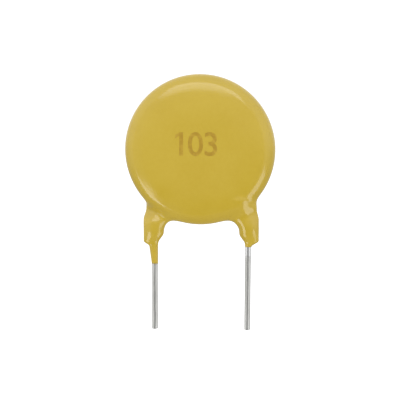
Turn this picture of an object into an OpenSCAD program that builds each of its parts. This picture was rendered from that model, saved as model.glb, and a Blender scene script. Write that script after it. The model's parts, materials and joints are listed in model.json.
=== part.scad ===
// Radial-lead ceramic disc capacitor, in millimetres.
// The origin lies midway between the leads on the seating plane, where the coating meets the board.
// +X runs across the leads, the front face looks towards -Y and +Z points away from the board.

/* [Ceramic] */
// Diameter of the ceramic disc
ceramic_diameter = 13.8; // [12.6:0.1:18]
// Thickness of the ceramic disc
ceramic_thickness = 1.2; // [0.8:0.1:2.4]
// Bevel round both edges of the ceramic disc
ceramic_bevel = 0.1; // [0.05:0.01:0.2]
// Bare ceramic left outside each electrode
electrode_margin = 0.5; // [0.3:0.1:1]
// Thickness of each fired silver electrode
electrode_thickness = 0.02; // [0.01:0.01:0.05]

/* [Leads] */
// Distance between the centres of the two leads
lead_spacing = 10; // [8:0.1:12]
// Diameter of the lead wire
lead_diameter = 0.6; // [0.45:0.01:0.66]
// Length of each lead below the seating plane
lead_length = 6.9; // [3:0.1:30]
// Bevel left by the cutter on each lead tip
tip_bevel = 0.06; // [0.02:0.01:0.1]
// Length of straight wire inside the end of the coating
buried_straight = 0.12; // [0.1:0.01:0.15]
// Swelling of the wire at each bend
bend_swell = 0.015; // [0.01:0.005:0.02]
// Drop from the lower edge of the ceramic to the second bend of each wire
knee_drop = 0.6; // [0.5:0.1:1]
// Distance across from the middle of the disc to the inner end of each wire
inner_reach = 2.4; // [1.5:0.1:3.5]
// Height of each wire's inner end above the middle of the disc
inner_rise = 0.8; // [0:0.1:2]

/* [Solder joints] */
// Solder between each wire and its electrode
solder_film = 0.05; // [0.03:0.01:0.1]
// Solder over the top of each wire
solder_cover = 0.08; // [0.05:0.01:0.15]
// Radius of each solder mound
solder_radius = 0.8; // [0.7:0.05:1.2]
// Length of the straight part of each mound
solder_length = 3.2; // [2:0.1:4]
// Distance from the inner end of each wire to the straight part of its mound
solder_setback = 1; // [0.9:0.1:1.5]

/* [Coated disc] */
// Coating over each electrode
face_coat = 1.38; // [1.1:0.01:2]
// Coating outside the edge of the ceramic
rim_coat = 1.1; // [0.8:0.1:1.6]
// Rounding of the coated disc's edge
edge_radius = 1.6; // [1.2:0.1:1.6]
// Height of the coated disc's lower edge above the seating plane
body_lift = 4.3; // [4:0.1:6]
// Offset of the disc across from the middle of the leads
body_offset = -0.15; // [-0.4:0.05:0.4]

/* [Coated legs] */
// Height above the seating plane at which the coating ends on the back lead
back_coat_end = 0; // [0:0.1:1]
// Height above the seating plane at which the coating ends on the front lead
front_coat_end = 1.9; // [0:0.1:2]
// Height of the skirt's lower edge above the seating plane
skirt_height = 2.5; // [2.3:0.1:2.8]
// Height of the skirt's straight outer side
side_height = 2.4; // [2:0.1:3]
// Reach of the skirt from the wire, away from the middle
skirt_outer = 1.16; // [0.9:0.02:1.4]
// Reach of the skirt from the wire, towards the middle
skirt_inner = 0.9; // [0.75:0.05:1.1]
// Rounding of the skirt's outer corner
corner_radius = 0.3; // [0.2:0.05:0.4]
// Rise of the slope under the skirt's inner side
inner_slope = 0.75; // [0.5:0.05:1]
// Width that each leg loses at its neck
neck_depth = 0.21; // [0.1:0.01:0.35]
// Height of the neck above the skirt's straight side
neck_rise = 1.4; // [1:0.1:1.8]
// Radius of the fillet between each leg and the lower edge of the disc
fillet_radius = 0.9; // [0.6:0.1:1.2]
// Thickness of each leg beside the wire
web_thickness = 0.8; // [0.6:0.05:1]
// Radius of the coating round the wire in each leg
ridge_radius = 0.58; // [0.5:0.01:0.65]
// Height over which the ridge narrows to the run below it
ridge_taper = 0.4; // [0.2:0.05:0.6]
// Radius of the coating round the wire just below the skirt
run_radius = 0.42; // [0.4:0.01:0.48]
// Thickness of the coating where it ends on the wire
film_thickness = 0.04; // [0.03:0.005:0.06]

/* [Hidden] */
$fn = 64;

// The front lead stands on +X and the back lead on -X. Each is joined to the face it is named after.
FRONT = 1;
BACK = -1;

ceramic_radius = ceramic_diameter / 2;
electrode_radius = ceramic_radius - electrode_margin;
electrode_face = ceramic_thickness / 2 + electrode_thickness;
body_radius = ceramic_radius + rim_coat;
body_half = electrode_face + face_coat;
body_height = body_lift + body_radius;
wire_radius = lead_diameter / 2;
bend_radius = wire_radius + bend_swell;
wire_depth = electrode_face + solder_film + wire_radius;
solder_top = wire_depth + wire_radius + solder_cover;

// Place of a lead along X, and of the coating's end on it along Z
function lead_place(side) = side * lead_spacing / 2;
function coat_end(side) = side == FRONT ? front_coat_end : back_coat_end;

// Height of the lower edge of a circle about the disc's middle, over a place along X
function lower_edge(radius, place) =
    body_height - sqrt(max(pow(radius, 2) - pow(place - body_offset, 2), 0));

// Points on a lead's centre line: tip, first bend, second bend and inner end
function lead_tip(side) = [lead_place(side), 0, -lead_length];
function first_bend(side) = [lead_place(side), 0, coat_end(side) + buried_straight];
function second_bend(side) =
    [lead_place(side), -side * wire_depth, lower_edge(ceramic_radius, lead_place(side)) - knee_drop];
function inner_end(side) =
    [body_offset + side * inner_reach, -side * wire_depth, body_height + inner_rise];

// Lean of the wire between its bends, and a height on it as a length from the first bend
function lean(side) = atan(wire_depth / (second_bend(side)[2] - first_bend(side)[2]));
function up_wire(side, height) = (height - first_bend(side)[2]) / cos(lean(side));

// A round bar from one point to another
module bar(start, stop, radius) {
    run = stop - start;
    length = norm(run);
    translate(start)
        rotate([0, acos(run[2] / length), atan2(run[1], run[0])])
            cylinder(h = length, r = radius);
}

// A bar with round ends, turned in one piece
module round_ended(start, stop, radius) {
    run = stop - start;
    length = norm(run);
    translate(start)
        rotate([0, acos(run[2] / length), atan2(run[1], run[0])])
            rotate_extrude()
                intersection() {
                    union() {
                        circle(r = radius);
                        square([radius, length]);
                        translate([0, length]) circle(r = radius);
                    }
                    translate([0, -radius]) square([radius, length + 2 * radius]);
                }
}

module ball(centre, radius) {
    translate(centre) sphere(r = radius);
}

// Puts what is drawn about the origin on the disc's middle, with local +Z towards the front
module on_disc() {
    translate([body_offset, 0, body_height]) rotate([90, 0, 0]) children();
}

module ceramic_disc() {
    half = ceramic_thickness / 2;
    bevelled = ceramic_radius - ceramic_bevel;
    color([0.62, 0.47, 0.33])
        on_disc()
            rotate_extrude()
                polygon([
                    [0, -half], [bevelled, -half], [ceramic_radius, ceramic_bevel - half],
                    [ceramic_radius, half - ceramic_bevel], [bevelled, half], [0, half]
                ]);
}

module electrode(side) {
    color([0.83, 0.83, 0.80])
        on_disc()
            translate([0, 0, side * (electrode_face - electrode_thickness / 2)])
                cylinder(h = electrode_thickness, r = electrode_radius, center = true);
}

// Tinned wire: straight below the coating, leaning inside its leg, then flat along its electrode
module lead(side) {
    tip = lead_tip(side);
    color([0.75, 0.76, 0.74]) {
        translate(tip) cylinder(h = tip_bevel, r1 = wire_radius - tip_bevel, r2 = wire_radius);
        bar(tip + [0, 0, tip_bevel], first_bend(side), wire_radius);
        ball(first_bend(side), bend_radius);
        bar(first_bend(side), second_bend(side), wire_radius);
        ball(second_bend(side), bend_radius);
        bar(second_bend(side), inner_end(side), wire_radius);
    }
}

// Solder mound: a long drop round the wire, lying on the silver and no wider than it
module solder(side) {
    run = second_bend(side) - inner_end(side);
    along = run / norm(run);
    sink = [0, side * (wire_depth + solder_radius - solder_top), 0];
    upper = inner_end(side) + solder_setback * along + sink;
    lower = upper + solder_length * along;
    color([0.60, 0.61, 0.60])
        difference() {
            intersection() {
                round_ended(lower, upper, solder_radius);
                on_disc()
                    translate([0, 0, side * (electrode_face + solder_radius)])
                        cylinder(h = 2 * solder_radius, r = electrode_radius, center = true);
            }
            lead(side);
        }
}

// Coated disc: flat faces and a round edge
module disc_skin() {
    land = body_half - edge_radius;
    flat = body_radius - edge_radius;
    on_disc()
        rotate_extrude() {
            translate([0, -body_half]) square([flat, 2 * body_half]);
            translate([0, -land]) square([body_radius, 2 * land]);
            for (height = [-land, land])
                intersection() {
                    translate([flat, height]) circle(r = edge_radius);
                    translate([0, -body_half]) square([body_radius, 2 * body_half]);
                }
        }
}

// Outline of a leg seen from the front: X outwards from the wire, Y up the wire from its first bend
module leg_outline(side) {
    skirt = up_wire(side, skirt_height);
    top = up_wire(side, lower_edge(body_radius, lead_place(side) + side * skirt_outer) + neck_depth);
    neck_radius = (pow(neck_depth, 2) + pow(neck_rise, 2)) / (2 * neck_depth);
    fillet_place = -skirt_inner - fillet_radius;
    fillet = up_wire(side, lower_edge(body_radius + fillet_radius, side * fillet_place + lead_place(side)));
    difference() {
        union() {
            polygon([
                [2 * skirt_outer, skirt + corner_radius], [2 * skirt_outer, top],
                [fillet_place, top], [fillet_place, fillet], [-skirt_inner, fillet],
                [-skirt_inner, skirt + inner_slope], [0, skirt], [skirt_outer - corner_radius, skirt]
            ]);
            translate([skirt_outer - corner_radius, skirt + corner_radius]) circle(r = corner_radius);
        }
        translate([skirt_outer - neck_depth + neck_radius, skirt + side_height + neck_rise])
            circle(r = neck_radius);
        translate([fillet_place, fillet]) circle(r = fillet_radius);
    }
}

// Section across a leg: flat sides that end in a round edge, with a ridge over the wire
module leg_section(side) {
    rim = skirt_outer - web_thickness / 2;
    circle(r = ridge_radius);
    translate([side * rim, 0]) circle(r = web_thickness / 2);
    translate([side * (rim - body_radius) / 2, 0]) square([rim + body_radius, web_thickness], center = true);
}

// Coating on a lead: the leg, and below it a run that thins out on the wire
module leg_skin(side) {
    skirt = up_wire(side, skirt_height);
    film_radius = wire_radius + film_thickness;
    translate(first_bend(side))
        rotate([side * lean(side), 0, 0]) {
            intersection() {
                rotate([90, 0, 0])
                    linear_extrude(height = 4 * ridge_radius, center = true)
                        mirror([side == FRONT ? 0 : 1, 0]) leg_outline(side);
                linear_extrude(height = body_height) leg_section(side);
            }
            translate([0, 0, skirt]) cylinder(h = ridge_taper, r1 = run_radius, r2 = ridge_radius);
            translate([0, 0, -buried_straight])
                cylinder(h = skirt + buried_straight, r1 = film_radius, r2 = run_radius);
        }
}

// Dipped resin skin over the disc and down both wires, hollow where the inner pieces lie
module coating() {
    color([0.79, 0.68, 0.27])
        difference() {
            union() {
                disc_skin();
                leg_skin(FRONT);
                leg_skin(BACK);
            }
            ceramic_disc();
            for (side = [FRONT, BACK]) {
                electrode(side);
                lead(side);
                solder(side);
            }
        }
}

module front_electrode() {
    electrode(FRONT);
}

module back_electrode() {
    electrode(BACK);
}

module front_lead() {
    lead(FRONT);
}

module back_lead() {
    lead(BACK);
}

module front_solder() {
    solder(FRONT);
}

module back_solder() {
    solder(BACK);
}

coating();
ceramic_disc();
front_electrode();
back_electrode();
front_lead();
back_lead();
front_solder();
back_solder();
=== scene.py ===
# %% [markdown]
# # A ceramic disc capacitor, dressed for its portrait
# The packed CAD model is the frame: it says where every piece sits and how large it is.
# Each step below explains one piece or one finish of the real object, and then makes it.
# Main sizes and places are read from the frame. What the frame can't say, such as how the resin
# sagged, is written down once, with a name.

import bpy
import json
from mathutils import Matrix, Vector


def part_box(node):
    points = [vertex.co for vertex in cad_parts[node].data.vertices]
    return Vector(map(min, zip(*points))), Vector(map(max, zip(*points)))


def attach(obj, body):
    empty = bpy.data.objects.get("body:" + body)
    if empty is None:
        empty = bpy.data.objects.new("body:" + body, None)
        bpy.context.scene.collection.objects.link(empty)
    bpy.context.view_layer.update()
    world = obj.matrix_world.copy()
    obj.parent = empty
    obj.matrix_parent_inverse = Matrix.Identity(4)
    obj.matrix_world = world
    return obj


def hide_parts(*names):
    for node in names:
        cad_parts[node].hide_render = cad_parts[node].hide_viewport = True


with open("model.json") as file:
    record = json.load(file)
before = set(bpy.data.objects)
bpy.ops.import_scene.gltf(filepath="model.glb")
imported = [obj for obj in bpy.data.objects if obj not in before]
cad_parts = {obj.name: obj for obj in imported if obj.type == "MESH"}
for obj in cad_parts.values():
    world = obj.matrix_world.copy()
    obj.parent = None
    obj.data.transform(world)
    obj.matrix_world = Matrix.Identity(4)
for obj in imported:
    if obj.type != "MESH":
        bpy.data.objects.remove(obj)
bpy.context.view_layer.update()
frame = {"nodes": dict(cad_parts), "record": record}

# %% The tools of the lesson
import json
import math

import bmesh
import bpy
from mathutils import Matrix, Vector

MM = 0.001
print("pieces in the frame:", ", ".join(sorted(frame["nodes"])))

# %% [markdown]
# ## Sizes that the CAD gives
# A disc capacitor is a thin fired ceramic disc with a silver electrode on each face. One wire is
# soldered to the front face and one to the back, and the whole is dipped in resin. The pieces that
# are drawn again here take their sizes from the CAD nodes, in millimetres, as on a maker's drawing.

# %% Read the sizes
def box_mm(node):
    low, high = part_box(node)
    return low / MM, high / MM


def pin(name):
    mount = next(m for m in frame["record"]["mounts"] if m["name"] == name)
    return mount["pos_m"][0] / MM, mount["dims"]["r_mm"]


coat_low, coat_high = box_mm("coating")
silver_face = box_mm("back_electrode")[1].y
lead_place, wire_radius = pin("front_lead_pin")
disc_radius = (coat_high.x - coat_low.x) / 2
disc_half = coat_high.y
disc_x = (coat_high.x + coat_low.x) / 2
disc_z = coat_high.z - disc_radius
tip_z = box_mm("front_lead")[0].z
SOLDER_FILM = 0.05
wire_depth = silver_face + SOLDER_FILM + wire_radius
print(f"disc {2 * disc_radius:.2f} x {2 * disc_half:.2f} mm about ({disc_x:.2f}, {disc_z:.2f})")
print(f"wires {2 * wire_radius:.2f} mm thick at x = +-{lead_place:.2f} mm,",
      f"{wire_depth:.3f} mm off the middle")

# %% [markdown]
# ## Camera
# A product camera stands almost square on, a little to the part's right and a little above. It
# could stand close with a wide lens, but that swells what is near: a long lens from far away keeps
# the outline true. The camera aims near the part's middle, so that disc and wires both fit.

# %% Camera
CAMERA_AZIMUTH = math.radians(8)
CAMERA_ELEVATION = math.radians(3.5)
CAMERA_DISTANCE = 0.45
FRAME_WIDTH = 0.0425
aim = Vector((-0.00016, 0, 0.0069))
towards_camera = Vector((
    math.sin(CAMERA_AZIMUTH) * math.cos(CAMERA_ELEVATION),
    -math.cos(CAMERA_AZIMUTH) * math.cos(CAMERA_ELEVATION),
    math.sin(CAMERA_ELEVATION)))

scene = bpy.context.scene
camera_data = bpy.data.cameras.new("camera")
camera_data.lens = camera_data.sensor_width * CAMERA_DISTANCE / FRAME_WIDTH
camera_data.clip_start, camera_data.clip_end = 0.01, 20
camera = bpy.data.objects.new("camera", camera_data)
camera.location = aim + towards_camera * CAMERA_DISTANCE
camera.rotation_euler = (-towards_camera).to_track_quat("-Z", "Y").to_euler()
scene.collection.objects.link(camera)
scene.camera = camera
scene.view_settings.view_transform = "Standard"
print(f"lens {camera_data.lens:.0f} mm")

# %% [markdown]
# ## Nodes written as sums
# Both materials and Geometry Nodes are graphs. Written as Python expressions they read like the
# formulas that they are: this class wraps one output socket, and each operator adds the node that
# does the sum. Numbers alone are worked out in Python.

# %% The class that wraps a socket
class Out:
    """An output socket that adds a node for each operator used on it."""

    def __init__(self, socket):
        self.socket = socket

    @staticmethod
    def make(tree, kind, settings=None, inputs=None, output=0):
        """Adds any node: its settings first, then the values or links of its inputs."""
        node = tree.nodes.new(kind)
        for name, value in (settings or {}).items():
            setattr(node, name, value)
        for name, value in (inputs or {}).items():
            if isinstance(value, Out):
                tree.links.new(value.socket, node.inputs[name])
            else:
                node.inputs[name].default_value = value
        return Out(node.outputs[output])

    @property
    def tree(self):
        return self.socket.id_data

    @property
    def is_vector(self):
        return self.socket.type == "VECTOR"

    def math(self, operation, *others):
        inputs = dict(enumerate((self, *others)))
        return Out.make(self.tree, "ShaderNodeMath", {"operation": operation}, inputs)

    def vector_math(self, operation, *others):
        inputs = dict(enumerate((self, *others)))
        output = "Value" if operation in ("LENGTH", "DOT_PRODUCT") else "Vector"
        return Out.make(self.tree, "ShaderNodeVectorMath", {"operation": operation}, inputs, output)

    def sum(self, operation, other):
        if self.is_vector or (isinstance(other, Out) and other.is_vector):
            return self.vector_math(operation, other)
        return self.math(operation, other)

    def __add__(self, other):
        return self.sum("ADD", other)

    __radd__ = __add__

    def __sub__(self, other):
        return self.sum("SUBTRACT", other)

    def __rsub__(self, other):
        return Out.make(self.tree, "ShaderNodeMath", {"operation": "SUBTRACT"}, {0: other, 1: self})

    def __mul__(self, other):
        if self.is_vector and not (isinstance(other, Out) and other.is_vector):
            return Out.make(self.tree, "ShaderNodeVectorMath", {"operation": "SCALE"},
                            {0: self, "Scale": other})
        return self.sum("MULTIPLY", other)

    __rmul__ = __mul__

    def __truediv__(self, other):
        return self.math("DIVIDE", other)

    def __pow__(self, power):
        return self.math("POWER", power)

    def __abs__(self):
        return self.math("ABSOLUTE")

    def root(self):
        return self.math("SQRT")

    def least(self, other):
        return self.math("MINIMUM", other)

    def most(self, other):
        return self.math("MAXIMUM", other)

    def melt(self, other, width):
        """The smaller of the two, with the corner between them rounded over a width."""
        return self.math("SMOOTH_MIN", other, width)

    def step(self, start, stop):
        """Rises smoothly from 0 at start to 1 at stop."""
        return Out.make(self.tree, "ShaderNodeMapRange", {"interpolation_type": "SMOOTHSTEP"},
                        {"Value": self, "From Min": start, "From Max": stop})

    def parts(self):
        node = Out.make(self.tree, "ShaderNodeSeparateXYZ", inputs={0: self}).socket.node
        return [Out(socket) for socket in node.outputs]


print("ready:", ", ".join(name for name in vars(Out) if name.strip("_") not in ("init", "module")))

# %% Two helpers made with the class
def length(*sides):
    """The length of a line from its sides at right angles."""
    squares = [side * side for side in sides]
    return sum(squares[1:], squares[0]).root()


def vector(tree, x=0, y=0, z=0):
    return Out.make(tree, "ShaderNodeCombineXYZ", inputs={0: x, 1: y, 2: z})


print("ready:", length.__name__, vector.__name__)

# %% [markdown]
# ## A tree with named sizes
# Loops over points could make every shape here, but a Geometry Nodes tree is quicker and keeps each
# size adjustable by name. The modifier knows its inputs by identifier, so a helper looks each one
# up. The tree's result is turned into a plain mesh, and the modifier goes.

# %% Start a tree
def new_tree(name, sizes, vectors=(), takes_mesh=False):
    """An empty tree and its group input as a dictionary of sockets."""
    tree = bpy.data.node_groups.new(name, "GeometryNodeTree")
    if takes_mesh:
        tree.interface.new_socket("Mesh", in_out="INPUT", socket_type="NodeSocketGeometry")
    for vector_name in vectors:
        tree.interface.new_socket(vector_name, in_out="INPUT", socket_type="NodeSocketVector")
    for size_name, value in sizes.items():
        socket = tree.interface.new_socket(size_name, in_out="INPUT", socket_type="NodeSocketFloat")
        socket.default_value = value
    group_input = tree.nodes.new("NodeGroupInput")
    return tree, {socket.name: Out(socket) for socket in group_input.outputs if socket.name}


def give_output(tree, name, kind, value):
    tree.interface.new_socket(name, in_out="OUTPUT", socket_type=kind)
    tree.links.new(value.socket, tree.nodes.new("NodeGroupOutput").inputs[0])


print("ready:", new_tree.__name__, give_output.__name__)

# %% Run a tree
def grow(name, tree, sizes, material, start=None):
    """Runs a tree with these sizes, on a starting mesh if it takes one, and returns the piece."""
    seed = bpy.data.objects.new(name + "_seed", start or bpy.data.meshes.new(name + "_seed"))
    scene.collection.objects.link(seed)
    modifier = seed.modifiers.new("grow", "NODES")
    modifier.node_group = tree
    for item in tree.interface.items_tree:
        if item.in_out == "INPUT" and item.name in sizes:
            modifier[item.identifier] = sizes[item.name]
    evaluated = seed.evaluated_get(bpy.context.evaluated_depsgraph_get())
    mesh = bpy.data.meshes.new_from_object(evaluated)
    seed.modifiers.remove(modifier)
    bpy.data.objects.remove(seed)
    mesh.name = name
    mesh.materials.clear()
    mesh.materials.append(material)
    piece = bpy.data.objects.new(name, mesh)
    scene.collection.objects.link(piece)
    low, high = piece_box(piece)
    triangles = sum(len(p.vertices) - 2 for p in mesh.polygons)
    print(f"{name}: {triangles} triangles, from {low} to {high} mm")
    return piece


def piece_box(piece):
    points = [v.co for v in piece.data.vertices]
    return tuple(tuple(round(pick(p[i] for p in points) / MM, 3) for i in range(3))
                 for pick in (min, max))


print("ready:", grow.__name__, piece_box.__name__)

# %% End a tree
def finish_tree(tree, geometry, material):
    """Ends a tree: from millimetres to metres, instances made real, and the material set."""
    metres = Out.make(tree, "GeometryNodeTransform",
                      inputs={"Geometry": geometry, "Scale": (MM, MM, MM)})
    real = Out.make(tree, "GeometryNodeRealizeInstances", inputs={0: metres})
    done = Out.make(tree, "GeometryNodeSetMaterial",
                    inputs={"Geometry": real, "Material": material})
    give_output(tree, "Geometry", "NodeSocketGeometry", done)


print("ready:", finish_tree.__name__)

# %% [markdown]
# ## The resin's finish
# The coat is a dipped epoxy: an opaque ochre yellow, very smooth and glossy. Its colour clouds a
# little where the pigment settled, and the surface carries a faint long wave from the dipping. One
# flat yellow would look like plastic, so two close yellows are mixed by a coarse and a fine noise,
# and a third noise drives a very shallow bump. Where the back leg ends, the skin thins out to
# nothing in a ragged line.

# %% Helpers for materials
def new_material(name):
    material = bpy.data.materials.new(name)
    material.use_nodes = True
    tree = material.node_tree
    shader = tree.nodes["Principled BSDF"]
    return material, tree, shader


def place(tree):
    """The point on the piece, in metres, in the frame's own axes."""
    return Out.make(tree, "ShaderNodeTexCoord", output="Object")


def noise(point, size_mm, detail=2.0):
    return Out.make(point.tree, "ShaderNodeTexNoise", {"noise_dimensions": "3D"},
                    {"Vector": point, "Scale": 1 / (size_mm * MM), "Detail": detail})


def mix_colour(factor, a, b):
    """Sockets 6 and 7 of the Mix node take its colours, and output 2 gives the result."""
    return Out.make(factor.tree, "ShaderNodeMix", {"data_type": "RGBA"},
                    {"Factor": factor, 6: a, 7: b}, output=2)


def feed(tree, shader, name, value):
    tree.links.new(value.socket, shader.inputs[name])


print("ready:", new_material.__name__, place.__name__, noise.__name__, mix_colour.__name__)

# %% Resin
resin, tree, shader = new_material("yellow_resin")
point = place(tree)
cloud = noise(point, 3.5).step(0.3, 0.7)
grain = noise(point, 0.35).step(0.35, 0.65)
warm = (0.540, 0.382, 0.038, 1)
cool = (0.564, 0.406, 0.046, 1)
feed(tree, shader, "Base Color", mix_colour(cloud * 0.7 + grain * 0.3, warm, cool))
feed(tree, shader, "Roughness", 0.13 + 0.05 * cloud)
shader.inputs["IOR"].default_value = 1.5
wave = noise(point, 2.2, detail=1.0)
bump = Out.make(tree, "ShaderNodeBump",
                inputs={"Strength": 0.05, "Distance": 0.1 * MM, "Height": wave})
feed(tree, shader, "Normal", bump)
height = point.parts()[2]
ragged = noise(point, 0.4) * (0.2 * MM)
feed(tree, shader, "Alpha", (height + ragged).step(0.05 * MM, 0.4 * MM))
print("resin clouds between", warm[:3], "and", cool[:3])

# %% [markdown]
# ## The coat as one rule
# The resin has no edges: it wraps disc and wires in one skin that melts together where they meet.
# Such a shape is hard to build from patches, but easy to state as a distance: how far is a point
# from the skin? The disc is a round plate with a round edge. Each leg is a flat web beside its wire
# with a ridge over the wire itself. A smooth minimum melts them all together.

# %% Sizes of the disc's outline
DISC_STRETCH = 1.006
CROWN_RADIUS = 8.0
RIM_RADIUS = 1.65
rim_place = disc_radius - RIM_RADIUS
turn = math.acos((CROWN_RADIUS - disc_half) / (CROWN_RADIUS - RIM_RADIUS))
flat_radius = rim_place - (CROWN_RADIUS - RIM_RADIUS) * math.sin(turn)
print(f"flat to {flat_radius:.2f} mm, then a slow curve,",
      f"then the rim from {math.degrees(turn):.0f} degrees")

# %% Sizes that disc and legs share
shared_sizes = {
    "Disc x": disc_x,
    "Disc z": disc_z,
    "Flat radius": flat_radius,
    "Flat melt": 4.0,
    "Crown radius": CROWN_RADIUS,
    "Crown sink": CROWN_RADIUS - disc_half,
    "Rim radius": RIM_RADIUS,
    "Rim place": rim_place,
    "Turn cosine": math.cos(turn),
    "Turn sine": math.sin(turn),
    "Wire radius": wire_radius,
    "Wire depth": wire_depth,
    "Lead place": lead_place,
    "Film": 0.02,
    "Leg melt": 2.4,
    "Neck": 0.36,
    "Web thinning": 0.36,
    "Taper foot": 2.1,
    "Taper": 0.27,
    "Ridge film": 0.42,
    "Ridge melt": 0.8,
}
print(len(shared_sizes), "shared sizes")

# %% [markdown]
# ## The words for a leg
# A leg's web reaches outwards by "outer" and inwards by "inner", and widens by "flare" just below
# the disc. Half its thickness grows to "web half". The film swells by "run" above the leg's end.
# Between the knee's heights the wire bends to its face of the ceramic. The web follows it by the
# share "follow", and the ridge of resin over the wire by the share "lift". The ridge also leans
# inwards by "lean", and gets slimmer between the "slim" heights. Both legs could share one set of
# sizes, but resin never sags the same way twice.

# %% Sizes of each leg
front_sizes = {
    "Front end": 1.92,
    "Front run": 0.15,
    "Front outer": 1.14,
    "Front outer start": 1.95,
    "Front outer stop": 2.62,
    "Front inner": 0.92,
    "Front inner start": 2.3,
    "Front inner stop": 3.35,
    "Front flare": 0.65,
    "Front web half": 0.88,
    "Front follow": 0.3,
    "Front knee start": 4.4,
    "Front knee stop": 7.6,
    "Front lift": 1.02,
    "Front lean": 0.72,
    "Front lean start": 3.6,
    "Front lean stop": 6.8,
    "Front slim start": 7.4,
    "Front slim stop": 8.8,
}
back_sizes = {
    "Back end": 0.0,
    "Back run": 0.15,
    "Back outer": 1.22,
    "Back outer start": 1.95,
    "Back outer stop": 2.5,
    "Back inner": 0.92,
    "Back inner start": 2.3,
    "Back inner stop": 3.4,
    "Back flare": 0.45,
    "Back web half": 0.72,
    "Back follow": 0.9,
    "Back knee start": 4.4,
    "Back knee stop": 6.4,
    "Back lift": 1.0,
    "Back lean": 0.60,
    "Back lean start": 4.9,
    "Back lean stop": 6.2,
    "Back slim start": 5.0,
    "Back slim stop": 6.8,
}
coat_sizes = {**shared_sizes, **front_sizes, **back_sizes}
print(len(coat_sizes), "sizes in all")

# %% The distance from the disc
RIM_BLEND = 0.25


def disc_distance(x, y, z, size):
    across = length((x - size["Disc x"]) * (1 / DISC_STRETCH), z - size["Disc z"])
    through = abs(y)
    past_flat = 0 - (size["Flat radius"] - across).melt(0, size["Flat melt"])
    crown = length(past_flat, through + size["Crown sink"]) - size["Crown radius"]
    rim = length(across - size["Rim place"], through) - size["Rim radius"]
    past = (across - size["Rim place"]) * size["Turn cosine"] - through * size["Turn sine"]
    return crown + (rim - crown) * past.step(-RIM_BLEND, RIM_BLEND)


print(f"crown and rim blend over {2 * RIM_BLEND} mm")

# %% Heights that shape a leg
NECK_HEIGHTS = (4.8, 6.3)
FLARE_HEIGHTS = (3.7, 5.4)
THINNING_HEIGHTS = (4.4, 5.6)
RIDGE_HEIGHTS = (1.8, 4.4)
RUN_LENGTH = 2.5
SPARE = 0.04
TAPER_TOP_MELT, TAPER_FOOT_MELT = 0.15, 0.1
SLIM_SHARE = 0.5
# Inside the disc a leg adds nothing, so its distance is raised there. A ridge also fades below.
WEB_GONE, RIDGE_GONE, RIDGE_BORN = (6.0, 9.0), (6.9, 8.9), (1.8, 3.2)
GONE, UNBORN = 3, 0.4
TINY = 0.0001
print("the neck narrows between heights of", NECK_HEIGHTS, "mm")

# %% The distance from a leg
def leg_distance(x, y, z, size, side):
    """side is +1 for the front lead at +X and -1 for the back lead at -X."""
    name = "Front" if side > 0 else "Back"
    end = size[name + " end"]
    out = x * side - size["Lead place"]
    knee = size["Wire depth"] * z.step(size[name + " knee start"], size[name + " knee stop"])
    off = y + size[name + " lift"] * knee * side
    film = size["Wire radius"] + size["Film"]
    run = film + size[name + " run"] * (z - end).most(0).least(RUN_LENGTH)
    opened_out = z.step(size[name + " outer start"], size[name + " outer stop"])
    opened_in = z.step(size[name + " inner start"], size[name + " inner stop"])
    neck = 1 - size["Neck"] * z.step(*NECK_HEIGHTS)
    flare = size[name + " flare"] * z.step(*FLARE_HEIGHTS)
    outer = run + (size[name + " outer"] * neck - run) * opened_out
    inner = film + (size[name + " inner"] + flare - film) * opened_in
    fullest = size[name + " web half"] - film - SPARE
    taper = ((z - size["Taper foot"]) * size["Taper"]).melt(fullest, TAPER_TOP_MELT)
    thinned = size["Web thinning"] * z.step(*THINNING_HEIGHTS)
    thick = film + SPARE - (0 - taper).melt(0, TAPER_FOOT_MELT) - thinned
    middle = (outer - inner) * 0.5
    half = (outer + inner) * 0.5
    p, q = out - middle, y + size[name + " follow"] * knee * side
    near = length(p / half, q / thick)
    slope = length(p / (half * half), q / (thick * thick)).most(TINY)
    web = near * (near - 1) / slope
    lean = size[name + " lean"] * z.step(size[name + " lean start"], size[name + " lean stop"])
    slimmed = SLIM_SHARE * z.step(size[name + " slim start"], size[name + " slim stop"])
    built_up = size["Ridge film"] * (z.step(*RIDGE_HEIGHTS) - slimmed)
    ridge = length(out + lean, off) - film - built_up
    web = web + GONE * z.step(*WEB_GONE)
    ridge = ridge + GONE * z.step(*RIDGE_GONE) + UNBORN * (1 - z.step(*RIDGE_BORN))
    return web, ridge


print("a leg is a web and a ridge, melted into the disc over",
      shared_sizes["Leg melt"], "and", shared_sizes["Ridge melt"], "mm")

# %% The whole rule
END_MELT = 0.12
rule, size = new_tree("coat_distance", coat_sizes, vectors=["Position"])
x, y, z = size["Position"].parts()
disc = disc_distance(x, y, z, size)
front_web, front_ridge = leg_distance(x, y, z, size, +1)
back_web, back_ridge = leg_distance(x, y, z, size, -1)
whole = disc.melt(front_web.least(back_web), size["Leg melt"])
whole = whole.melt(front_ridge.least(back_ridge), size["Ridge melt"])
end = size["Back end"] + (size["Front end"] - size["Back end"]) * x.math("GREATER_THAN", 0)
whole = 0 - (0 - whole).melt(z - end, END_MELT)
give_output(rule, "Distance", "NodeSocketFloat", whole)
print("nodes in the rule:", len(rule.nodes))

# %% [markdown]
# ## From the rule to a mesh
# A rule has no faces yet. A volume is filled by it, cell by cell, and a mesh is drawn where the
# distance is nought. The cells would leave faint terraces, and finer cells would cost too many
# faces. So each point is then moved onto the skin exactly: along the slope of the distance.

# %% Helpers for the rule
SLOPE_WIDTH = 0.02
LONGEST_MOVE = 0.1


def distance_at(tree, point, size):
    inputs = {name: value for name, value in size.items() if name in coat_sizes}
    return Out.make(tree, "GeometryNodeGroup", {"node_tree": rule}, {**inputs, "Position": point})


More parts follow.
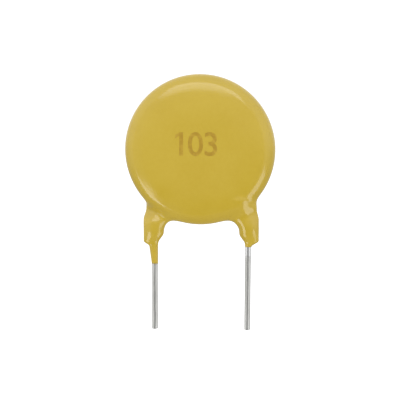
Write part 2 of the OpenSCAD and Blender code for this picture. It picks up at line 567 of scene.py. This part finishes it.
def settle(tree, geometry, size):
    """Moves each point onto the skin: along the slope of the distance, by the distance."""
    here = Out.make(tree, "GeometryNodeInputPosition")
    axes = [vector(tree, **{axis: SLOPE_WIDTH}) for axis in "xyz"]
    slopes = [(distance_at(tree, here + axis, size) - distance_at(tree, here - axis, size))
              / (2 * SLOPE_WIDTH) for axis in axes]
    slope = vector(tree, *slopes)
    steep = slope.vector_math("DOT_PRODUCT", slope).most(TINY)
    move = (distance_at(tree, here, size) / steep).most(-LONGEST_MOVE).least(LONGEST_MOVE)
    return Out.make(tree, "GeometryNodeSetPosition",
                    inputs={"Geometry": geometry, "Offset": slope * (-1 * move)})


print(f"slope taken over {2 * SLOPE_WIDTH} mm, moves of at most {LONGEST_MOVE} mm")

# %% Fill a volume by the rule and mesh it
CELL = 0.11
ROOM = 0.4
FADE_CELLS = 8
SETTLINGS = 3
low = (coat_low.x - ROOM, coat_low.y - ROOM, -ROOM)
high = (coat_high.x + ROOM, coat_high.y + ROOM, coat_high.z + ROOM)
counts = [round((b - a) / CELL) for a, b in zip(low, high)]
coat_tree, size = new_tree("coat", coat_sizes)
here = Out.make(coat_tree, "GeometryNodeInputPosition")
faded = distance_at(coat_tree, here, size) * (1 / (FADE_CELLS * CELL))
density = (0.5 - faded).most(0).least(1)
cube = Out.make(coat_tree, "GeometryNodeVolumeCube", inputs={
    "Density": density, "Min": low, "Max": high,
    "Resolution X": counts[0], "Resolution Y": counts[1], "Resolution Z": counts[2]})
skin = Out.make(coat_tree, "GeometryNodeVolumeToMesh", {"resolution_mode": "GRID"},
                {"Volume": cube, "Threshold": 0.5})
for _ in range(SETTLINGS):
    skin = settle(coat_tree, skin, size)
skin = Out.make(coat_tree, "GeometryNodeSetShadeSmooth", inputs={"Geometry": skin})
finish_tree(coat_tree, skin, resin)
coat = grow("coat", coat_tree, coat_sizes, resin)
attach(coat, "root")
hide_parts("coating")

# %% [markdown]
# ## The printed value
# A disc capacitor carries its value as three plain digits: 103 stands for 10 and three noughts, in
# picofarads. The digits are a thin film of ochre ink. They could be painted by a texture, but then
# the shape would be lost without its material. So they are drawn flat as text, filled, given the
# ink's thickness, and then settled onto the coat by the same rule that shaped it.

# %% Ink
ink, tree, shader = new_material("ink")
point = place(tree)
worn = noise(point, 0.5, detail=3).step(0.38, 0.72)
dark, pale = (0.410, 0.250, 0.022, 1), (0.490, 0.320, 0.026, 1)
feed(tree, shader, "Base Color", mix_colour(worn, dark, pale))
feed(tree, shader, "Roughness", 0.3 + 0.2 * worn)
shader.inputs["IOR"].default_value = 1.45
print("ink between", dark[:3], "and", pale[:3])

# %% The flag of the 1
INK_THICKNESS = 0.012
FLAG_REACH, FLAG_STROKE, FLAG_DROP = 0.42, 0.36, 0.28


def add_flag(mesh):
    """Gives the leading 1, a plain bar in this face, the slanting flag of a printed one."""
    left = min(v.co.x for v in mesh.vertices)
    top = max(v.co.y for v in mesh.vertices if v.co.x < left + 1.2 * FLAG_REACH)
    outline = [(left, top), (left - FLAG_REACH, top - FLAG_DROP),
               (left - FLAG_REACH, top - FLAG_DROP - FLAG_STROKE), (left, top - FLAG_STROKE)]
    points = [(x, y, z) for z in (INK_THICKNESS / 2, -INK_THICKNESS / 2) for x, y in outline]
    walls = [(i, i + 4, (i + 1) % 4 + 4, (i + 1) % 4) for i in range(4)]
    flag = bpy.data.meshes.new("flag")
    flag.from_pydata(points, [], [(0, 1, 2, 3), (7, 6, 5, 4)] + walls)
    joined = bmesh.new()
    joined.from_mesh(mesh)
    joined.from_mesh(flag)
    joined.to_mesh(mesh)
    joined.free()


print(f"the flag reaches {FLAG_REACH} mm to the left")

# %% Digits
DIGIT_HEIGHT = 2.5
TEXT_SIZE_PER_HEIGHT = 1.4
STROKE_GROWTH = 0.035
DIGIT_PLACE = Vector((-0.30, 0, 12.8))


def solid_digits(text):
    """The digits as one closed film of ink, upright in front of the disc, in millimetres."""
    curve = bpy.data.curves.new("digits", "FONT")
    curve.body = text
    curve.align_x, curve.align_y = "CENTER", "CENTER"
    curve.size = DIGIT_HEIGHT * TEXT_SIZE_PER_HEIGHT
    curve.space_character = 0.95
    curve.body_format[0].kerning = -3.0
    curve.offset = STROKE_GROWTH
    curve.extrude = INK_THICKNESS / 2
    holder = bpy.data.objects.new("digits", curve)
    scene.collection.objects.link(holder)
    evaluated = holder.evaluated_get(bpy.context.evaluated_depsgraph_get())
    mesh = bpy.data.meshes.new_from_object(evaluated)
    bpy.data.objects.remove(holder)
    add_flag(mesh)
    upright = Matrix.Rotation(math.pi / 2, 4, "X")
    mesh.transform(Matrix.Translation(DIGIT_PLACE) @ upright)
    return mesh


digits = solid_digits("103")
print("digits drawn:", len(digits.polygons), "faces")

# %% Lay the digits on the coat
ink_tree, size = new_tree("ink", coat_sizes, takes_mesh=True)
here = Out.make(ink_tree, "GeometryNodeInputPosition")
x, _, z = here.parts()
lowered = Out.make(ink_tree, "GeometryNodeSetPosition",
                   inputs={"Geometry": size["Mesh"], "Offset": vector(ink_tree, y=-coat_high.y)})
foot = vector(ink_tree, x, -coat_high.y, z)
shallow = distance_at(ink_tree, foot, size)
followed = Out.make(ink_tree, "GeometryNodeSetPosition",
                    inputs={"Geometry": lowered, "Offset": vector(ink_tree, y=shallow)})
film = Out.make(ink_tree, "GeometryNodeMergeByDistance",
                inputs={"Geometry": followed, "Distance": 0.0005})
finish_tree(ink_tree, film, ink)
printed = grow("printed_value", ink_tree, coat_sizes, ink, start=digits)
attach(printed, "root")

# %% [markdown]
# ## The wires
# A lead is a copper-clad steel wire with a skin of tin. It stands straight through the board, has a
# shallow jog beside the ceramic so that it can lie on its face, and ends under the solder. It could
# be joined from cylinders, but a curve through five points, rounded at its bends and swept by a
# circle, is just how a wire is bent. The cutter leaves a slightly rounded, slanting end.
# Drawn tin is a soft grey metal with streaks along the wire. They are too fine to be modelled, so a
# noise stretched along Z gives them. Where clear resin wets the right wire, the tin looks polished.

# %% Tin
WIRE_STRETCH = 0.06
tin, tree, shader = new_material("tinned_wire")
point = place(tree)
px, py, pz = point.parts()
shader.inputs["Metallic"].default_value = 1
shader.inputs["Specular Tint"].default_value = (0.4, 0.4, 0.4, 1)
stretched = vector(tree, px, py, pz * WIRE_STRETCH)
streak = noise(stretched, 0.12).step(0.3, 0.7)
patch = noise(stretched, 0.5).step(0.35, 0.65)
dull = (0.50, 0.50, 0.475, 1)
bright = (0.63, 0.63, 0.61, 1)
clear = (0.95, 0.95, 0.95, 1)
wetted = pz.step(0.85 * MM, 1.05 * MM) * px.math("GREATER_THAN", 0)
metal = mix_colour(streak * 0.6 + patch * 0.4, dull, bright)
feed(tree, shader, "Base Color", mix_colour(wetted, metal, clear))
feed(tree, shader, "Roughness", (0.34 + 0.10 * streak) * (1 - wetted) + 0.06 * wetted)
feed(tree, shader, "Coat Weight", wetted)
print("tin between", dull[:3], "and", bright[:3])

# %% The bends of a wire
TIP_LEAN = 0.1
INTO_COAT = 0.12
JOG_BELOW, JOG_ABOVE, JOG_INWARD = 0.5, 0.2, 0.25


def wire_points(side):
    """The bends of a lead in millimetres, read from the CAD where it states them."""
    node = "front_lead" if side > 0 else "back_lead"
    name = "Front" if side > 0 else "Back"
    low, high = box_mm(node)
    first = coat_sizes[name + " knee start"] + JOG_BELOW
    second = coat_sizes[name + " knee stop"] - JOG_ABOVE
    inner_x = low.x + wire_radius if side > 0 else high.x - wire_radius
    tip_lean = TIP_LEAN if side > 0 else 0
    return [(side * lead_place - tip_lean, 0, low.z),
            (side * lead_place, 0, coat_sizes[name + " end"] + INTO_COAT),
            (side * lead_place, 0, first),
            (side * (lead_place - JOG_INWARD), -side * wire_depth, second),
            (inner_x, -side * wire_depth, high.z - wire_radius)]


print("front wire bends at heights", [round(z, 2) for x, y, z in wire_points(+1)])

# %% The path of a wire
wire_sizes = {"Radius": wire_radius, "Bend": 0.7, "Cut slant": 0.0, "Tip round": 0.09}
BENDS = 5
wire_tree, size = new_tree("wire", wire_sizes, vectors=[f"P{i}" for i in range(BENDS)])
index = Out.make(wire_tree, "GeometryNodeInputIndex")
line = Out.make(wire_tree, "GeometryNodeMeshLine", {"mode": "OFFSET"}, {"Count": BENDS})
chosen = size["P0"]
# Sockets 2 and 3 of the Compare node take its whole numbers.
for i in range(1, BENDS):
    is_here = Out.make(wire_tree, "FunctionNodeCompare", {"data_type": "INT", "operation": "EQUAL"},
                       {2: index, 3: i})
    chosen = Out.make(wire_tree, "GeometryNodeSwitch", {"input_type": "VECTOR"},
                      {"Switch": is_here, "False": chosen, "True": size[f"P{i}"]})
line = Out.make(wire_tree, "GeometryNodeSetPosition", inputs={"Geometry": line, "Position": chosen})
path = Out.make(wire_tree, "GeometryNodeMeshToCurve", inputs={0: line})
path = Out.make(wire_tree, "GeometryNodeFilletCurve", {"mode": "POLY"},
                {"Curve": path, "Count": 8, "Radius": size["Bend"], "Limit Radius": True})
path = Out.make(wire_tree, "GeometryNodeResampleCurve", {"mode": "LENGTH"},
                {"Curve": path, "Length": 0.06})
print("nodes in the path:", len(wire_tree.nodes))

# %% The section of a wire
TIP_SHARE = 0.25
DRAWING_WAVE = 0.006
along = Out.make(wire_tree, "GeometryNodeSplineParameter", output="Length")
from_tip = (along / size["Tip round"]).least(1)
tip_shape = (1 - (1 - from_tip) * (1 - from_tip)).most(0.0) ** 0.5
rough = Out.make(wire_tree, "ShaderNodeTexNoise", {"noise_dimensions": "3D"},
                 {"Scale": 0.7, "Detail": 1.0}) - 0.5
share = (TIP_SHARE + (1 - TIP_SHARE) * tip_shape) * (1 + DRAWING_WAVE * rough)
path = Out.make(wire_tree, "GeometryNodeSetCurveRadius", inputs={"Curve": path, "Radius": share})
ring = Out.make(wire_tree, "GeometryNodeCurvePrimitiveCircle", {"mode": "RADIUS"},
                {"Resolution": 32, "Radius": size["Radius"]})
swept = Out.make(wire_tree, "GeometryNodeCurveToMesh",
                 inputs={"Curve": path, "Profile Curve": ring, "Fill Caps": True,
                         "Scale": Out.make(wire_tree, "GeometryNodeInputRadius")})
here = Out.make(wire_tree, "GeometryNodeInputPosition")
x, _, z = here.parts()
tip_x, _, tip_height = size["P0"].parts()
near_tip = 1 - (z - tip_height).step(0.0, 1.0)
drop = size["Cut slant"] * (x - tip_x + size["Radius"]) * near_tip
swept = Out.make(wire_tree, "GeometryNodeSetPosition",
                 inputs={"Geometry": swept, "Offset": vector(wire_tree, z=drop)})
swept = Out.make(wire_tree, "GeometryNodeSetShadeSmooth", inputs={"Geometry": swept})
finish_tree(wire_tree, swept, tin)
print("nodes in the wire's tree:", len(wire_tree.nodes))

# %% Both wires
for side, name, slant in ((1, "front", 0.02), (-1, "back", 0.06)):
    points = {f"P{i}": point for i, point in enumerate(wire_points(side))}
    wire = grow(name + "_wire", wire_tree, {**wire_sizes, **points, "Cut slant": slant}, tin)
    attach(wire, "root")
    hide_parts(name + "_lead")

# %% [markdown]
# ## The clear film
# Below the front leg the resin's clear part has crept down the wire and set as a glassy sleeve. It
# has no pigment, so the wire shows through it, bright. Real refraction in so thin a film would cost
# much light and noise, so the sleeve is mostly see-through by Alpha and keeps its own gloss. It is
# swept along a short line and widens towards the coat, as a drop does.

# %% Clear film
glassy, tree, shader = new_material("clear_resin")
shader.inputs["Base Color"].default_value = (0.45, 0.45, 0.44, 1)
shader.inputs["IOR"].default_value = 1.5
mist = noise(place(tree), 0.3)
feed(tree, shader, "Alpha", 0.12 + 0.06 * mist)
feed(tree, shader, "Roughness", 0.02 + 0.04 * mist)
print("materials so far:", len(bpy.data.materials))

# %% The sleeve
SWELL_POWER = 0.6
film_sizes = {
    "Top": coat_sizes["Front end"] + 0.06,
    "Foot": 0.88,
    "Top radius": wire_radius + 0.11,
    "Foot radius": wire_radius + 0.004,
}
film_tree, size = new_tree("clear_film", film_sizes)
top = vector(film_tree, lead_place, 0, size["Top"])
foot = vector(film_tree, lead_place, 0, size["Foot"])
line = Out.make(film_tree, "GeometryNodeCurvePrimitiveLine", inputs={"Start": foot, "End": top})
line = Out.make(film_tree, "GeometryNodeResampleCurve", inputs={"Curve": line, "Count": 24})
up = Out.make(film_tree, "GeometryNodeSplineParameter", output="Factor")
swollen = size["Foot radius"] + (size["Top radius"] - size["Foot radius"]) * up ** SWELL_POWER
line = Out.make(film_tree, "GeometryNodeSetCurveRadius", inputs={"Curve": line, "Radius": swollen})
ring = Out.make(film_tree, "GeometryNodeCurvePrimitiveCircle", {"mode": "RADIUS"},
                {"Resolution": 48, "Radius": 1})
sleeve = Out.make(film_tree, "GeometryNodeCurveToMesh",
                  inputs={"Curve": line, "Profile Curve": ring, "Fill Caps": True,
                          "Scale": Out.make(film_tree, "GeometryNodeInputRadius")})
sleeve = Out.make(film_tree, "GeometryNodeSetShadeSmooth", inputs={"Geometry": sleeve})
finish_tree(film_tree, sleeve, glassy)
clear_film = grow("clear_film", film_tree, film_sizes, glassy)
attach(clear_film, "root")

# %% [markdown]
# ## Other finishes
# Fired silver is a matt, gritty metal. Solder is brighter and smoother. The ceramic is a brown,
# matt stone. The coat hides them all, so they keep their CAD meshes, and a noise that drives colour
# and roughness together gives each the grit of its own material.

# %% Silver, solder and ceramic
def gritty(name, metallic, grit_mm, detail, dark, pale, smoothest):
    """A finish whose grains differ in colour and in roughness."""
    material, tree, shader = new_material(name)
    shader.inputs["Metallic"].default_value = metallic
    grit = noise(place(tree), grit_mm, detail)
    feed(tree, shader, "Base Color", mix_colour(grit, (*dark, 1), (*pale, 1)))
    feed(tree, shader, "Roughness", smoothest + 0.2 * grit)
    print(f"{name}: grains of {grit_mm} mm")
    return material


silver = gritty("silver", 1, 0.08, 4, (0.72, 0.71, 0.68), (0.85, 0.85, 0.82), 0.42)
solder = gritty("solder", 1, 0.3, 3, (0.50, 0.50, 0.50), (0.66, 0.66, 0.65), 0.25)
ceramic = gritty("ceramic", 0, 0.05, 4, (0.30, 0.17, 0.08), (0.40, 0.25, 0.13), 0.6)

# %% Give the CAD nodes their finishes
finishes = {
    "ceramic_disc": ceramic,
    "front_electrode": silver,
    "back_electrode": silver,
    "front_solder": solder,
    "back_solder": solder,
}
for node, material in finishes.items():
    mesh = frame["nodes"][node].data
    mesh.materials.clear()
    mesh.materials.append(material)
print("finishes given:", len(finishes))

# %% [markdown]
# ## Studio
# What makes a glossy part look real is what it mirrors. So the studio is a pale floor under the
# wire tips, a surround that the gloss sees darker in front and brighter at the sides, one wide soft
# lamp above and in front, and two smaller ones low at the sides. The lamps draw the bright
# crescents along the rim. The white behind the part is what the camera alone sees. More light could
# make the background white too, but it would bleach the part.

# %% Floor
REACH = 3.0
corners = [(-REACH, -REACH, 0), (REACH, -REACH, 0), (REACH, REACH, 0), (-REACH, REACH, 0)]
floor_mesh = bpy.data.meshes.new("floor")
floor_mesh.from_pydata(corners, [], [(0, 1, 2, 3)])
floor_mesh.transform(Matrix.Translation((0, 0, tip_z * MM)))
floor = bpy.data.objects.new("floor", floor_mesh)
scene.collection.objects.link(floor)
print(f"floor at {tip_z:.2f} mm")

# %% The floor's finish
WHITE = (1, 1, 1, 1)
FLOOR_GLOW = 0.7
pale_floor, tree, shader = new_material("pale_floor")
shader.inputs["Base Color"].default_value = (0.6, 0.6, 0.6, 1)
shader.inputs["Roughness"].default_value = 0.9
shader.inputs["Specular IOR Level"].default_value = 0
light_path = Out.make(tree, "ShaderNodeLightPath").socket.node
seen = Out(light_path.outputs["Is Camera Ray"])
glow = Out.make(tree, "ShaderNodeEmission", inputs={"Color": WHITE, "Strength": seen * FLOOR_GLOW})
both = Out.make(tree, "ShaderNodeAddShader", inputs={0: Out(shader.outputs[0]), 1: glow})
tree.links.new(both.socket, tree.nodes["Material Output"].inputs["Surface"])
floor_mesh.materials.append(pale_floor)
floor.visible_glossy = False
floor.visible_shadow = False
print("floor seen by the camera with a glow of", FLOOR_GLOW)

# %% Surround
world = bpy.data.worlds.new("surround")
scene.world = world
world.use_nodes = True
tree = world.node_tree
background = tree.nodes["Background"]
light_path = Out.make(tree, "ShaderNodeLightPath").socket.node
camera_ray, glossy_ray, clear_ray = (Out(light_path.outputs[n]) for n in
                                     ("Is Camera Ray", "Is Glossy Ray", "Is Transmission Ray"))
direction = Out.make(tree, "ShaderNodeTexCoord", output="Generated")
dx, dy, dz = direction.parts()

# What the gloss sees: a middle grey, less in front and below, more at the sides and above.
GLOSS, LESS_IN_FRONT, MORE_AT_SIDES, MORE_ABOVE, LESS_BELOW = 0.74, 0.43, 0.32, 0.36, 0.44
front = (0 - dy).step(0.6, 0.92)
sides = dy.step(-0.95, -0.5) * (1 - dy.step(-0.2, 0.3)) * (1 - (0 - dz).step(0.1, 0.4))
above = dz.step(-0.1, 0.15)
below = (0 - dz).step(-0.05, 0.5)
seen_in_gloss = (GLOSS - LESS_IN_FRONT * front + MORE_AT_SIDES * sides
                 + MORE_ABOVE * above - LESS_BELOW * below)

# What light the surround sheds: more from behind and above, a little less from the right.
LIGHT, MORE_BEHIND, LESS_AT_RIGHT, MORE_OVERHEAD = 0.652, 0.33, 0.02, 0.22
shed = LIGHT + MORE_BEHIND * dy - LESS_AT_RIGHT * dx + MORE_OVERHEAD * dz
strength = (shed * (1 - camera_ray) * (1 - glossy_ray) + camera_ray.most(clear_ray)
            + glossy_ray * seen_in_gloss)
tree.links.new(strength.socket, background.inputs["Strength"])
background.inputs["Color"].default_value = WHITE
print("nodes in the surround:", len(tree.nodes))

# %% Lamps
LAMP_DISTANCE = 0.5


def strip(name, start, stop, width, radiance):
    """A flat lamp facing the disc that reaches from one direction to another, as bright as told."""
    start, stop = (Vector(end).normalized() * LAMP_DISTANCE for end in (start, stop))
    towards = (start + stop).normalized()
    along = (stop - start).normalized()
    across = towards.cross(along)
    data = bpy.data.lights.new(name, "AREA")
    data.shape = "RECTANGLE"
    data.size, data.size_y = (stop - start).length, width
    data.energy = radiance * math.pi * data.size * data.size_y
    lamp = bpy.data.objects.new(name, data)
    middle = Vector((disc_x, 0, disc_z)) * MM
    lamp.location = middle + (start + stop) / 2
    lamp.rotation_euler = Matrix((along, across, towards)).transposed().to_euler()
    scene.collection.objects.link(lamp)
    print(f"{name}: {data.size:.2f} x {width:.2f} m")


strip("soft_top", (-0.52, -0.66, 0.60), (0.41, -0.66, 0.60), 0.23, 2.75)
strip("low_left", (-0.67, -0.65, -0.32), (-0.56, -0.49, -0.65), 0.20, 4.1)
strip("low_right", (0.84, -0.32, -0.34), (0.50, -0.37, -0.74), 0.28, 2.8)
